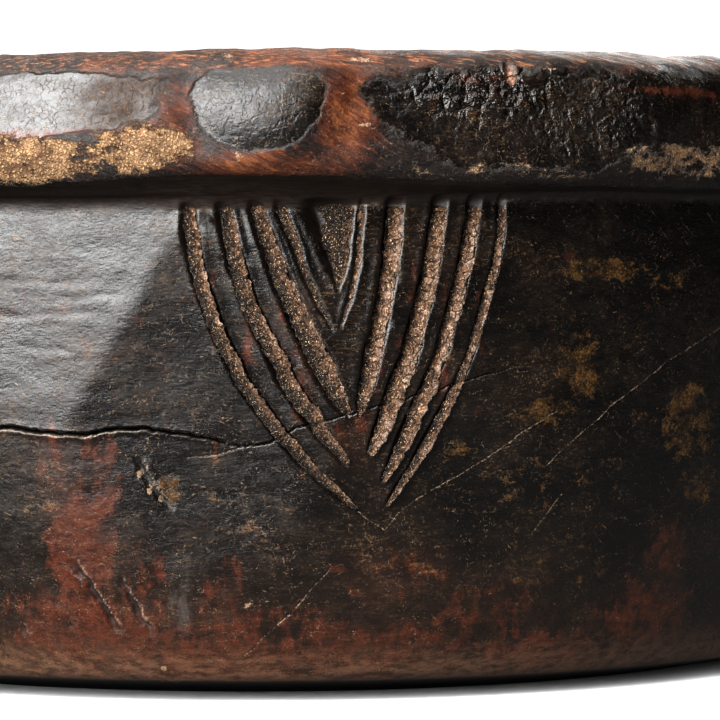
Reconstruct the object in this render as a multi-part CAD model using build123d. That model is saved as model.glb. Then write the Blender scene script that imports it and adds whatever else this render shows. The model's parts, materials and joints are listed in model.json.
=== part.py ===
"""Round wooden bowl cut from one block, with a heavy rim and four gouged V motifs.

Units are millimetres. +Z is up, the foot stands on Z = 0 and the bowl's axis is Z.
The first motif faces -Y. A bearing is an angle round the axis, counted from -Y towards +X.
A place on the wall is (arc, height): arc is measured round the wall from a motif's centre line.
"""
import os
from math import cos, sin, sqrt

from build123d import *

# ---------------------------------------------------------------- driving dimensions
HEIGHT = 140.0             # foot to the crown of the rim
RIM_RADIUS = 170.0         # widest part, the rim's outer face
RIM_BASE_Z = 112.0         # lower edge of the rim's outer face
RIM_UNDERSIDE_RADIUS = 168.0
RIM_EDGE_ROUND = 3.0       # rounding of that lower edge
RIM_EDGE_MID = (169.4, 113.2)      # halfway round it, as (radius, height)
RIM_SHOULDER_Z = 126.0     # where the rim's outer face turns in over the top
RIM_SHOULDER_MID = (166.6, 136.4)
RIM_CROWN_RADIUS = 157.0   # highest line of the rim
LIP_MID = (149.5, 137.4)   # halfway round the inner lip
MOUTH_RADIUS = 146.5       # inner edge of the rim
MOUTH_Z = 130.0            # where the inner lip becomes the hollow

WALL_TOP_Z = 106.0         # the wall meets the slope under the rim here
WALL_BULGE_RADIUS = 162.0  # widest part of the wall
WALL_BULGE_Z = 80.0
WALL_CURVE = 272.0         # radius of curvature of the wall's outline at the bulge
WALL_BASE_Z = 14.0         # the rounded base edge starts here
BASE_EDGE_MID = (151.2, 7.6)       # halfway round it
BASE_EDGE_LOW = (148.0, 4.6)       # it ends here, over a slope that falls to the foot
FOOT_RADIUS = 127.0        # flat face that the bowl stands on
SEAM_BEARING = 45.0        # the turned surfaces close here, between two motifs

FLOOR_THICKNESS = 17.0     # at the middle of the hollow
HOLLOW_SIDE_PULL = (155.0, 20.0)   # the hollow's outline leaves the mouth towards this point
HOLLOW_FLOOR_PULL = 130.0          # and comes in level over the floor from this radius

FACET_COUNT = 20           # adze flats round the rim
FACET_DEPTH = 1.3
NICK_BEARING = 13.0        # small V chipped out of the rim, in degrees
NICK_SIDE = 3.4            # side of the square prism that cuts it on edge
NICK_DEPTH = 2.0
NICK_LENGTH = 9.0          # up the rim
NICK_MIDDLE_Z = 136.5

MOTIF_SIDES = ("front", "right", "back", "left")
GROOVE_DEPTH_RATIO = 0.75  # depth of a gouged groove over its width
GROOVE_STEPS = 6           # straight runs in one groove
GROOVE_CLEARANCE = 1.5     # how far a cutter stands out of the wall
GROOVE_TOP_Z = 106.8       # the cuts run a little into the slope under the rim
CRUST_SINK = 0.9           # the dried crust lies this far below the wall
TIP_RATIO = 0.35           # width at a groove's lower tip over its full width

# Grooves of one motif: (arc at the top, middle point, lower end, width)
GROOVES = [
    (-33.0, (-25.5, 78.0), (9.0, 39.0), 3.0),
    (-25.5, (-16.5, 78.0), (0.6, 53.0), 3.1),
    (-19.2, (-10.2, 84.0), (0.8, 63.5), 3.3),
    (-13.6, (-7.2, 91.0), (-1.6, 80.0), 2.4),
    (4.4, (2.4, 90.0), (-0.4, 80.5), 1.4),
    (11.4, (7.8, 85.0), (3.6, 64.0), 3.4),
    (21.2, (15.4, 81.0), (6.2, 55.0), 3.2),
    (29.2, (21.8, 79.0), (8.6, 48.5), 2.6),
    (35.6, (27.6, 77.0), (10.0, 42.0), 1.8),
]
WEDGE_TOP_ARC = -2.8       # the gouged triangle between the innermost grooves
WEDGE_TIP = (-0.9, 89.0)
WEDGE_WIDTH = 12.0
WEDGE_DEPTH = 2.2
WEDGE_TIP_WIDTH = 1.0
WEDGE_TIP_DEPTH = 1.2

CRACK_WIDTH = 1.0          # the open drying crack across the front wall
CRACK_DEPTH = 3.0
CRACK_CLOSING = 0.6        # share of its width lost by the right-hand end
CRACK_END_DEPTH = 1.2
# One point at each change of direction
CRACK_PATH = [
    (-78.0, 59.0), (-62.0, 58.2), (-44.0, 59.6), (-21.0, 55.6),
    (-9.0, 59.8), (6.0, 63.8), (26.0, 69.0), (43.0, 74.0),
]


# ---------------------------------------------------------------- the turned outline
def wall_radius(z):
    """Radius of the outer wall at height z: a shallow parabola about the bulge."""
    return WALL_BULGE_RADIUS - (z - WALL_BULGE_Z) ** 2 / (2 * WALL_CURVE)


def wall_outline(inset=0.0):
    """Control points of that parabola from the base edge to the top, moved inwards by inset."""
    low = WALL_BASE_Z
    top = WALL_TOP_Z
    pull = wall_radius(low) - (low - WALL_BULGE_Z) * (top - low) / (2 * WALL_CURVE)
    return [
        (wall_radius(low) - inset, low),
        (pull - inset, (low + top) / 2),
        (wall_radius(top) - inset, top),
    ]


def bowl_blank():
    """The plain bowl: foot, wall, rim and hollow, turned round Z."""
    wall = wall_outline()
    wall_base = wall[0]
    wall_top = wall[-1]
    rim_low = (RIM_UNDERSIDE_RADIUS, RIM_BASE_Z)
    rim_face = (RIM_RADIUS, RIM_BASE_Z + RIM_EDGE_ROUND)
    shoulder = (RIM_RADIUS, RIM_SHOULDER_Z)
    crown = (RIM_CROWN_RADIUS, HEIGHT)
    mouth = (MOUTH_RADIUS, MOUTH_Z)
    floor = (0.0, FLOOR_THICKNESS)
    with BuildPart() as blank:
        with BuildSketch(Plane.XZ):
            with BuildLine():
                Line((0.0, 0.0), (FOOT_RADIUS, 0.0))
                Line((FOOT_RADIUS, 0.0), BASE_EDGE_LOW)
                ThreePointArc(BASE_EDGE_LOW, BASE_EDGE_MID, wall_base)
                Bezier(*wall)
                Line(wall_top, rim_low)
                ThreePointArc(rim_low, RIM_EDGE_MID, rim_face)
                Line(rim_face, shoulder)
                ThreePointArc(shoulder, RIM_SHOULDER_MID, crown)
                ThreePointArc(crown, LIP_MID, mouth)
                Bezier(mouth, HOLLOW_SIDE_PULL, (HOLLOW_FLOOR_PULL, FLOOR_THICKNESS), floor)
                Line(floor, (0.0, 0.0))
            make_face()
        revolve(axis=Axis.Z)
    return Rot(0.0, 0.0, SEAM_BEARING) * blank.part


def crust_envelope():
    """Everything further inside the wall than the top of the crust in a groove."""
    sunk_wall = wall_outline(CRUST_SINK)
    axis_low = (0.0, WALL_BASE_Z)
    axis_top = (0.0, WALL_TOP_Z)
    with BuildPart() as envelope:
        with BuildSketch(Plane.XZ):
            with BuildLine():
                Bezier(*sunk_wall)
                Polyline(sunk_wall[-1], axis_top, axis_low, sunk_wall[0])
            make_face()
        revolve(axis=Axis.Z)
    return Rot(0.0, 0.0, SEAM_BEARING) * envelope.part


# ---------------------------------------------------------------- gouged cuts
def wall_point(arc, z, stand_off):
    """A point stand_off outside the wall (negative is inside it)."""
    bearing = arc / WALL_BULGE_RADIUS
    radius = wall_radius(z) + stand_off
    return Vector(radius * sin(bearing), -radius * cos(bearing), z)


def vee_section(place, heading, width, depth):
    """Three corners of a V cut across its path: the bottom and the two sides of the mouth."""
    arc, z = place
    reach = 0.5 * width * (depth + GROOVE_CLEARANCE) / depth
    side = Vector(-heading.Y, heading.X) * reach
    return [
        wall_point(arc, z, -depth),
        wall_point(arc + side.X, z + side.Y, GROOVE_CLEARANCE),
        wall_point(arc - side.X, z - side.Y, GROOVE_CLEARANCE),
    ]


def gouge(path, widths, depths):
    """A closed cutter with a V section along path, a list of (arc, height) places."""
    rings = []
    last = len(path) - 1
    for i, place in enumerate(path):
        before = Vector(*path[max(i - 1, 0)])
        after = Vector(*path[min(i + 1, last)])
        heading = (after - before).normalized()
        rings.append(vee_section(place, heading, widths[i], depths[i]))
    faces = [Face(Wire.make_polygon(rings[0])), Face(Wire.make_polygon(rings[-1]))]
    for ring, following in zip(rings, rings[1:]):
        for k in range(3):
            j = (k + 1) % 3
            faces.append(Face(Wire.make_polygon([ring[k], ring[j], following[j]])))
            faces.append(Face(Wire.make_polygon([ring[k], following[j], following[k]])))
    return Solid(Shell(faces))


def groove_path(top_arc, middle, end):
    """Places along the curve that starts under the rim and runs through middle to end."""
    top = Vector(top_arc, GROOVE_TOP_Z)
    mid = Vector(*middle)
    tip = Vector(*end)
    first = (mid - top).length
    share = first / (first + (tip - mid).length)
    bend = (mid - top * (1 - share) ** 2 - tip * share ** 2) * (1 / (2 * share * (1 - share)))
    path = []
    for i in range(GROOVE_STEPS + 1):
        t = i / GROOVE_STEPS
        place = top * (1 - t) ** 2 + bend * 2 * t * (1 - t) + tip * t ** 2
        path.append((place.X, place.Y))
    return path


def motif_cutters():
    """The grooves and the inner triangle of one motif, as cutters facing -Y."""
    cutters = []
    for top_arc, middle, end, width in GROOVES:
        path = groove_path(top_arc, middle, end)
        widths = [width] * GROOVE_STEPS + [width * TIP_RATIO]
        depths = [w * GROOVE_DEPTH_RATIO for w in widths]
        cutters.append(gouge(path, widths, depths))
    wedge_path = [(WEDGE_TOP_ARC, GROOVE_TOP_Z), WEDGE_TIP]
    wedge_widths = [WEDGE_WIDTH, WEDGE_TIP_WIDTH]
    wedge_depths = [WEDGE_DEPTH, WEDGE_TIP_DEPTH]
    cutters.append(gouge(wedge_path, wedge_widths, wedge_depths))
    return cutters


# ---------------------------------------------------------------- rim details
def rim_facets():
    """Blocks whose inner faces leave the adze flats on the rim, with ridges between them."""
    pitch = 360.0 / FACET_COUNT
    block_depth = 20.0
    block_width = 80.0
    block_height = 2 * (HEIGHT - WALL_TOP_Z)
    distance = RIM_RADIUS - FACET_DEPTH + block_depth / 2
    block = Pos(distance, 0.0, HEIGHT) * Box(block_depth, block_width, block_height)
    return [Rot(0.0, 0.0, (i + 0.5) * pitch) * block for i in range(FACET_COUNT)]


def rim_nick():
    """A square prism on edge that cuts the small V out of the rim."""
    half_diagonal = NICK_SIDE / sqrt(2.0)
    distance = RIM_RADIUS - FACET_DEPTH - NICK_DEPTH + half_diagonal
    prism = Rot(0.0, 0.0, 45.0) * Box(NICK_SIDE, NICK_SIDE, NICK_LENGTH)
    prism = Pos(0.0, -distance, NICK_MIDDLE_Z) * prism
    return Rot(0.0, 0.0, NICK_BEARING) * prism


def drying_crack():
    """The open crack, narrowing to nothing at its right-hand end."""
    count = len(CRACK_PATH)
    widths = [CRACK_WIDTH * (1.0 - CRACK_CLOSING * (i / (count - 1)) ** 3) for i in range(count)]
    depths = [CRACK_DEPTH] * (count - 1) + [CRACK_END_DEPTH]
    return gouge(CRACK_PATH, widths, depths)


# ---------------------------------------------------------------- assembly
os.makedirs("parts", exist_ok=True)

grooves = motif_cutters()
envelope = crust_envelope()
crust = [piece for cutter in grooves for piece in (cutter & envelope).solids()]

cutters = [rim_nick()]
for i, side in enumerate(MOTIF_SIDES):
    turn = Rot(0.0, 0.0, i * 360.0 / len(MOTIF_SIDES))
    cutters += [turn * cutter for cutter in grooves]
    export_step(Compound([turn * piece for piece in crust]), f"parts/groove_crust_{side}.step")
cutters.append(drying_crack())

bowl = bowl_blank() - rim_facets()
for cutter in cutters:
    bowl -= cutter
export_step(bowl, "parts/bowl_body.step")

box = bowl.bounding_box().size
print(f"bowl {box.X:.1f} x {box.Y:.1f} x {box.Z:.1f} mm, {bowl.volume / 1e6:.2f} litres of wood")
print(f"grooves per motif {len(grooves)}, crust pieces {len(crust)}")
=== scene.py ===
# %% [markdown]
# # A carved wooden bowl
# This lesson finishes a round bowl that was cut from one block of dark hardwood: a heavy rim
# with flats left by the adze, a steep wall, and V motifs gouged under the rim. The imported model
# already holds the true sizes. Everything here only gives it the surface that hands, smoke, oil
# and years of use left on it.

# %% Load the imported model
import json
import math

import bmesh
import bpy
import numpy as np
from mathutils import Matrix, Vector

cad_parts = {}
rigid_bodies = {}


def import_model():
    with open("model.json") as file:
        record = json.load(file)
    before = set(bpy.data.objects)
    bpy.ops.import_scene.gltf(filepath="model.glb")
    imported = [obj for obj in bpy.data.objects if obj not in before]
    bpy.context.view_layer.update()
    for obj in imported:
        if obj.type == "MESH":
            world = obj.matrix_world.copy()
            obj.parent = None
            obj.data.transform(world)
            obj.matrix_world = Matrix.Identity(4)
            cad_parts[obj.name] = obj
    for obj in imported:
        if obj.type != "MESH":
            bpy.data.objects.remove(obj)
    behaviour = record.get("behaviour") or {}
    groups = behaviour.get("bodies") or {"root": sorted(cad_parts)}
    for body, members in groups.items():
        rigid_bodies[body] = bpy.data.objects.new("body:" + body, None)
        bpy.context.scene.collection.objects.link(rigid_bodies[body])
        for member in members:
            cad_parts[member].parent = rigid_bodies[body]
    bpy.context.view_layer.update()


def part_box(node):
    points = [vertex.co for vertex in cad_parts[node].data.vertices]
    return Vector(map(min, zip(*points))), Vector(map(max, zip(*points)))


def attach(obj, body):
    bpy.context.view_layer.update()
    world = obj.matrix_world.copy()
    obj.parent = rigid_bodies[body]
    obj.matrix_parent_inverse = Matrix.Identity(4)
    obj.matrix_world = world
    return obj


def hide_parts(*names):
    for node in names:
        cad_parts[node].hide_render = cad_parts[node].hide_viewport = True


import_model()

low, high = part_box("bowl_body")
MM = 0.001                                  # the carving is thought of in millimetres
RIM = round((high.x - low.x) / 2 / MM, 1)   # radius of the widest part of the rim
TALL = round(high.z / MM, 1)                # height from foot to crown
print("rim radius", RIM, "mm, height", TALL, "mm")

# %% [markdown]
# ## The outline
# A carver works such a bowl from the outline of its side: foot, base edge, wall, the slope under
# the rim, the rim and the hollow. Short curves joined end to end describe it well, because each
# one is a stretch that was cut in one go. They are written as distances in from the rim's
# radius and down from the crown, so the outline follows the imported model.

# %% The outline as a chain of curves
FOOT = RIM - 43.0
BASE_EDGE = (RIM - 22.0, 4.6)      # the worn corner under the wall
BASE_TOP = 14.0
WALL_TOP = TALL - 34.0
BULGE = RIM - 8.0
BULGE_Z = 80.0
WALL_CURVE = 544.0
FLOOR = 17.0


def wall_radius(z):
    """Radius of the plain wall at height z."""
    return BULGE - (z - BULGE_Z) ** 2 / WALL_CURVE


def outline_curves():
    """Control points of each stretch, from the middle of the foot round to the floor's middle."""
    base = wall_radius(BASE_TOP)
    top = wall_radius(WALL_TOP)
    pull = base - (BASE_TOP - BULGE_Z) * (WALL_TOP - BASE_TOP) / WALL_CURVE
    return [
        [(0.0, 0.0), (FOOT, 0.0)],
        [(FOOT, 0.0), BASE_EDGE],
        [BASE_EDGE, (RIM - 19.5, 5.2), (base - 1.4, 9.5), (base, BASE_TOP)],
        [(base, BASE_TOP), (pull, (BASE_TOP + WALL_TOP) / 2), (top, WALL_TOP)],
        [(top, WALL_TOP), (top + 1.2, WALL_TOP + 3.4), (RIM - 2.4, TALL - 28.6)],
        [(RIM - 2.4, TALL - 28.6), (RIM - 0.9, TALL - 27.6), (RIM, TALL - 26.0), (RIM, TALL - 22.0)],
        [(RIM, TALL - 22.0), (RIM, TALL - 9.0), (RIM - 2.5, TALL), (RIM - 13.0, TALL)],
        [(RIM - 13.0, TALL), (RIM - 20.0, TALL), (RIM - 23.5, TALL - 4.0), (RIM - 23.5, TALL - 10.0)],
        [(RIM - 23.5, TALL - 10.0), (RIM - 15.0, 20.0), (RIM - 40.0, FLOOR), (0.0, FLOOR)],
    ]


def bezier(points, steps):
    """Points along a curve with any number of control points."""
    t = np.linspace(0.0, 1.0, steps)[:, None]
    degree = len(points) - 1
    total = np.zeros((steps, 2))
    for i, p in enumerate(points):
        total += math.comb(degree, i) * t ** i * (1 - t) ** (degree - i) * np.array(p)
    return total


FINE = 400
chain = [bezier(curve, FINE)[:-1] for curve in outline_curves()]
outline = np.vstack(chain + [[(0.0, FLOOR)]])
along = np.concatenate([[0.0], np.cumsum(np.hypot(*np.diff(outline, axis=0).T))])
ends = [along[i * (FINE - 1)] for i in range(len(chain))] + [along[-1]]
S_BASE, S_WALL, S_UNDER, S_EDGE, _, S_LIP, S_HOLLOW = ends[2:9]
print("outline", round(along[-1], 1), "mm long, wall starts at", round(S_WALL, 1))


def on_outline(s):
    """Radius, height and outward direction of the plain outline at distance s along it."""
    radius = np.interp(s, along, outline[:, 0])
    z = np.interp(s, along, outline[:, 1])
    ahead = np.clip(s + 0.8, 0.0, along[-1])
    behind = np.clip(s - 0.8, 0.0, along[-1])
    dr = np.interp(ahead, along, outline[:, 0]) - np.interp(behind, along, outline[:, 0])
    dz = np.interp(ahead, along, outline[:, 1]) - np.interp(behind, along, outline[:, 1])
    size = np.hypot(dr, dz)
    return radius, z, dz / size, -dr / size


# %% [markdown]
# ## The gouged motif
# Each motif is a nest of Vs: grooves drawn with a gouge from under the rim down to a point, and a
# small triangle cleared between the two innermost ones. A place on the wall is an arc, measured
# round the wall from the middle of the motif, and a height. The four motifs share the same
# strokes, one for each quarter of the bowl.

# %% Strokes of the motif
SIDES = ["front", "right", "back", "left"]
STROKE_TOP = WALL_TOP + 2.0
STROKES = [   # (arc at the top, middle, lower end, half width at the top, half width low down)
    (-33.0, (-25.5, 78.0), (3.4, 42.4), 1.7, 1.3),
    (-25.3, (-16.2, 78.0), (1.2, 52.0), 1.8, 1.8),
    (-19.0, (-10.0, 84.0), (1.0, 62.5), 1.6, 2.8),
    (-13.6, (-7.2, 91.0), (-1.6, 79.5), 1.4, 0.6),
    (4.4, (2.6, 92.0), (-0.6, 79.8), 0.9, 0.5),
    (11.4, (8.2, 85.0), (3.4, 62.5), 2.0, 2.0),
    (21.2, (15.6, 81.0), (5.9, 54.0), 1.9, 2.2),
    (29.2, (22.0, 79.0), (9.0, 48.3), 1.6, 1.7),
    (35.6, (28.0, 77.0), (9.9, 43.2), 1.0, 1.1),
]
TRIANGLE = (-2.8, (-1.4, 96.0), (-0.8, 88.2), 6.2, 0.5)
STROKE_DEPTH = 1.05          # depth over half width
FINE_TAIL = 0.22             # share of a stroke over which it narrows to its tip


def stroke_line(stroke, steps):
    """Places, half widths and directions along a stroke."""
    top_arc, middle, end, wide_top, wide_low = stroke
    top = np.array((top_arc, STROKE_TOP))
    mid = np.array(middle)
    tip = np.array(end)
    first = np.hypot(*(mid - top))
    share = first / (first + np.hypot(*(tip - mid)))
    bend = (mid - top * (1 - share) ** 2 - tip * share ** 2) / (2 * share * (1 - share))
    t = np.linspace(0.0, 1.0, steps)
    place = np.outer((1 - t) ** 2, top) + np.outer(2 * t * (1 - t), bend) + np.outer(t ** 2, tip)
    heading = np.gradient(place, axis=0)
    heading /= np.hypot(*heading.T)[:, None]
    tail = np.clip((1.0 - t) / FINE_TAIL, 0.0, 1.0)
    half = (wide_top + (wide_low - wide_top) * t) * (0.22 + 0.78 * np.sqrt(tail))
    return t, place, half, heading


# %% [markdown]
# ## Cracks
# Wood this thick splits as it dries. One crack stands open across the front and closes as it
# reaches the motif. The others are hairlines that have filled with pale dust. They are drawn as
# places on the wall, then shaken a little, because a split follows the fibres and never runs
# straight.

# %% Paths of the cracks
OPEN_CRACK = [
    (-78, 59.0), (-73, 59.6), (-65, 58.7), (-58, 58.1), (-50, 58.9), (-43, 59.6), (-37, 58.3),
    (-29, 57.5), (-22, 55.3), (-15, 56.9), (-10, 59.6), (-1, 62.2), (9, 64.9), (18, 67.1),
    (26, 69.2), (35, 71.6), (43, 73.8),
]
HAIRLINES = [
    [(9.6, 37.8), (13, 41.4), (17, 44.4), (25, 48.7), (32, 52.8), (41, 59), (49.5, 63.5)],
    [(45.7, 51), (51, 55.6), (56, 58.9), (62, 63.7), (69, 68), (76.5, 73), (92, 80.2)],
    [(43, 35.5), (45.5, 39), (50.2, 44.7)],
    [(-21, 10.9), (-14, 17.6), (-11, 19.8), (-7.8, 23.9), (-2.3, 29.7)],
    [(-22, 55.3), (-27, 53.7), (-33.5, 53.2)],
    [(0.4, 44.8), (6, 40.2), (9.6, 37.6)],
]


# %% [markdown]
# ## Laying out the skin
# The skin starts as a flat sheet, like a label peeled off the bowl: across it runs the bearing,
# up it the distance along the outline. Cells are halved again and again only where something
# fine is carved, so the triangles go to the grooves, the cracks and the rim instead of the foot.

# %% Helpers for distances on the sheet
def to_segments(points, arc, z):
    """Distance from each place to a chain of straight pieces, and how far along it is nearest."""
    path = np.array(points, float)
    lengths = np.hypot(*np.diff(path, axis=0).T)
    before = np.concatenate([[0.0], np.cumsum(lengths)])
    best = np.full(arc.shape, 1e9)
    where = np.zeros(arc.shape)
    for a, b, size, start in zip(path, path[1:], lengths, before):
        d = (b - a) / size
        t = np.clip((arc - a[0]) * d[0] + (z - a[1]) * d[1], 0.0, size)
        gap = np.hypot(arc - a[0] - d[0] * t, z - a[1] - d[1] * t)
        closer = gap < best
        best = np.where(closer, gap, best)
        where = np.where(closer, (start + t) / before[-1], where)
    return best, where


def soft_step(x, low_end, high_end):
    """0 below low_end, 1 above high_end, smooth between."""
    t = np.clip((x - low_end) / (high_end - low_end), 0.0, 1.0)
    return t * t * (3 - 2 * t)


def at_front(arc):
    """Which places lie on the part of the bowl whose wear is listed one by one."""
    return (arc > FRONT_LEFT) & (arc < FRONT_RIGHT)


def nearest_quarter(arc):
    """Arc from the middle of the nearest motif, and the number of that motif."""
    quarter = math.pi / 2 * BULGE
    number = np.round(arc / quarter)
    return arc - number * quarter, number.astype(int) % len(SIDES)


# %% How fine the sheet has to be
SEAM = math.radians(-225.0)       # the sheet closes here, between two motifs
FRONT_LEFT, FRONT_RIGHT = -84.0, 102.0      # arcs between which the wear is listed one by one
COLUMNS = 152
CELL = 2 * math.pi * BULGE / COLUMNS
NICK = (34.8, 134.9)              # place of the chip in the rim, as arc and height
KNOCKS = [   # (from, to, half width, depth)
    ((-58.9, 31.0), (-48.7, 16.0), 0.8, 0.70), ((-48.0, 27.0), (-41.5, 15.5), 0.8, 0.6),
    ((-73.0, 18.0), (-67.0, 8.5), 0.5, 0.5), ((-43.5, 52.5), (-41.0, 47.5), 0.9, 0.5),
    ((-41.5, 47.0), (-37.0, 43.0), 0.7, 0.5), ((-41.0, 12.0), (-39.0, 7.0), 1.1, 0.7),
    ((-63.0, 24.0), (-57.0, 11.0), 0.4, 0.3), ((-79.0, 91.0), (-56.0, 90.2), 0.8, 0.05),
    ((-76.0, 83.0), (-52.0, 84.2), 0.9, 0.07), ((-60.0, 86.8), (-47.0, 88.0), 0.7, 0.04),
    ((-70.0, 76.5), (-58.0, 75.8), 0.8, 0.05), ((-72.0, 96.5), (-50.0, 97.3), 0.8, 0.04),
]


def wanted_level(arc, s, z):
    """How many times a cell there is halved."""
    level = np.zeros(arc.shape, int)
    level[(s > S_BASE - 8.0) & (s < S_HOLLOW + 90.0)] = 1
    level[(s > S_BASE) & (s < S_HOLLOW) & at_front(arc)] = 2
    level[(s > S_UNDER - 1.0) & (s < S_LIP) & at_front(arc)] = 3
    on_wall = (s > S_BASE) & (s < S_EDGE)
    local, number = nearest_quarter(arc)
    for stroke in STROKES + [TRIANGLE]:
        _, place, half, _ = stroke_line(stroke, 24)
        gap, _ = to_segments(place, local, z)
        reach = gap < max(stroke[3], stroke[4]) + 1.0
        level[on_wall & reach] = np.maximum(level[on_wall & reach], 3)
        level[on_wall & reach & (number == 0)] = 4
    for path, reach in [(OPEN_CRACK, 1.1)] + [(line, 0.5) for line in HAIRLINES]:
        gap, _ = to_segments(path, arc, z)
        level[(s > S_BASE) & (s < S_LIP) & (gap < reach + 1.2)] = 4
        level[(s > S_BASE) & (s < S_LIP) & (gap < reach)] = 5
    for begin, finish, half, _ in KNOCKS:
        gap, _ = to_segments([begin, finish], arc, z)
        level[on_wall & (gap < half * 2.4)] = np.maximum(level[on_wall & (gap < half * 2.4)], 4)
    level[(s > S_EDGE) & (np.hypot(arc - NICK[0], z - NICK[1]) < 4.5)] = 4
    return level


# %% Make the sheet and halve its cells
FINEST = 5
rows = round(along[-1] / CELL)
sheet = bmesh.new()
grid = [
    [sheet.verts.new((SEAM * BULGE + i * CELL, along[-1] * j / rows, 0.0)) for i in range(COLUMNS + 1)]
    for j in range(rows + 1)
]
for lower, upper in zip(grid, grid[1:]):
    for a, b, c, d in zip(lower, lower[1:], upper[1:], upper):
        sheet.faces.new((a, b, c, d))
for level in range(1, FINEST + 1):
    centres = np.array([f.calc_center_median() for f in sheet.faces])
    heights = np.interp(centres[:, 1], along, outline[:, 1])
    wanted = wanted_level(centres[:, 0], centres[:, 1], heights) >= level
    edges = {e for f, want in zip(sheet.faces, wanted) if want for e in f.edges}
    bmesh.ops.subdivide_edges(sheet, edges=list(edges), cuts=1, use_grid_fill=True)
    sheet.faces.ensure_lookup_table()
    print("halved", level, "times:", len(sheet.faces), "cells")

skin = bpy.data.meshes.new("carved_bowl")
sheet.to_mesh(skin)
sheet.free()

# %% [markdown]
# ## Noise for hand work
# Nothing on the bowl is even. One small noise function gives all the unevenness: it shakes a
# grid of fixed random numbers into soft hills, so the same bowl comes out on every run.

# %% Soft hills
def hills(points, size, seed):
    """Soft random heights between -1 and 1, with hills about size across."""
    p = points / np.asarray(size, float)
    cell = np.floor(p).astype(np.int64)
    f = p - cell
    f = f * f * f * (f * (f * 6 - 15) + 10)
    total = np.zeros(len(p))
    for corner in range(8):
        step = np.array([corner & 1, corner >> 1 & 1, corner >> 2 & 1])
        q = (cell + step).astype(np.uint64)
        key = q[:, 0] * np.uint64(73856093) ^ q[:, 1] * np.uint64(19349663) ^ q[:, 2] * np.uint64(83492791)
        key = (key + np.uint64(seed * 2654435761)) & np.uint64(0xFFFFFFFF)
        key = (key ^ key >> np.uint64(15)) * np.uint64(2246822519) & np.uint64(0xFFFFFFFF)
        key = (key ^ key >> np.uint64(13)) * np.uint64(3266489917) & np.uint64(0xFFFFFFFF)
        value = (key ^ key >> np.uint64(16)).astype(float) / 0xFFFFFFFF * 2 - 1
        weight = np.prod(np.where(step, f, 1 - f), axis=1)
        total += value * weight
    return total


def rough(points, size, seed, layers=3):
    """Several layers of hills, each half as wide and half as high as the one before."""
    total = np.zeros(len(points))
    for i in range(layers):
        total += hills(points, np.asarray(size, float) / 2 ** i, seed + i) / 2 ** i
    return total


# %% Places of the skin's corners
count = len(skin.vertices)
laid_flat = np.empty(count * 3)
skin.vertices.foreach_get("co", laid_flat)
laid_flat = laid_flat.reshape(-1, 3)
arc = laid_flat[:, 0]
s = laid_flat[:, 1]
bearing = arc / BULGE
radius, z, out_r, out_z = on_outline(s)
plain = np.stack([radius * np.sin(bearing), -radius * np.cos(bearing), z], axis=1)
sheet_place = np.stack([arc, s, np.zeros(count)], axis=1)
local, _ = nearest_quarter(arc)
outside = (s > S_BASE) & (s < S_HOLLOW)
on_wall = soft_step(s, S_WALL - 4.0, S_WALL + 6.0) * (1 - soft_step(s, S_UNDER + 1.0, S_UNDER + 4.0))
on_rim = soft_step(s, S_EDGE - 1.0, S_EDGE + 2.5) * (1 - soft_step(s, S_LIP + 6.0, S_HOLLOW))
print(count, "corners")

# %% [markdown]
# ## The rim's dark patches
# The rim was trued with an adze: each blow left a flat patch that kept its thick black skin,
# while the ridges between the patches were rubbed down to rust-red wood. A patch is a rounded
# oblong on the sheet. Some are planed a little hollow, and one in front stands up like a cushion.

# %% Patches round the rim
PATCHES = [   # (middle arc, middle height, half width, half height, depth, turn to the left, finish)
    (-67.0, 128.0, 31.5, 7.9, 1.0, 0.00, "fine"), (-18.6, 126.8, 14.0, 10.0, -1.20, 0.155, "leather"),
    (37.0, 126.0, 32.5, 11.8, 1.3, 0.065, "plates"), (87.0, 125.5, 24.0, 12.5, 0.7, 0.0, "bare"),
]
KINDS = ("fine", "leather", "plates", "bare")
HIDDEN_PATCHES = 17
HIDDEN_FROM = 105.0               # arc at which the patches by chance begin
ROUND = 2 * math.pi * BULGE
pick = np.random.default_rng(7)
room = (ROUND - HIDDEN_FROM - 99.0) / HIDDEN_PATCHES
for i in range(HIDDEN_PATCHES):
    PATCHES.append((
        HIDDEN_FROM + room * (i + 0.5 + pick.uniform(-0.08, 0.08)), pick.uniform(125.5, 127.5),
        room * pick.uniform(0.36, 0.47), pick.uniform(8.5, 11.0), pick.uniform(0.5, 1.7),
        pick.uniform(-0.05, 0.05), KINDS[int(pick.integers(len(KINDS)))],
    ))


def round_gap(middle):
    """Arc from a middle, the short way round."""
    return (arc - middle + ROUND / 2) % ROUND - ROUND / 2


edge_noise = 0.11 * rough(plain, 6.0, 3, 4)
patch_relief = np.zeros(count)
in_patch = {kind: np.zeros(count) for kind in KINDS}
for middle, high_at, wide, tall, depth, turned, kind in PATCHES:
    across = np.abs(round_gap(middle) / wide * (1.0 + 0.015 * (127.0 - z)))
    up = np.abs((z - high_at) / tall)
    far = (across ** 2.8 + up ** 2.8) ** (1 / 2.8)
    rolled = 2.7 if depth < 0 else 2.0
    patch_relief -= depth * np.clip(1.0 - far ** rolled, 0.0, 1.0)
    patch_relief += turned * round_gap(middle) * (1.0 - soft_step(far, 0.75, 1.45))
    inside = 1.0 - soft_step(far + edge_noise, 0.80, 1.03)
    in_patch[kind] = np.maximum(in_patch[kind], inside * on_rim)
patina = np.maximum.reduce(list(in_patch.values()))
relief = patch_relief * on_rim
ridge = on_rim * (1 - patina) * soft_step(z, 113.0, 118.0)
relief += ridge * (0.25 + 0.28 * rough(plain, (9.0, 9.0, 14.0), 5, 3))
print("dark skin on", round(100 * float((patina * on_rim).sum() / on_rim.sum())), "% of the rim")

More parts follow.
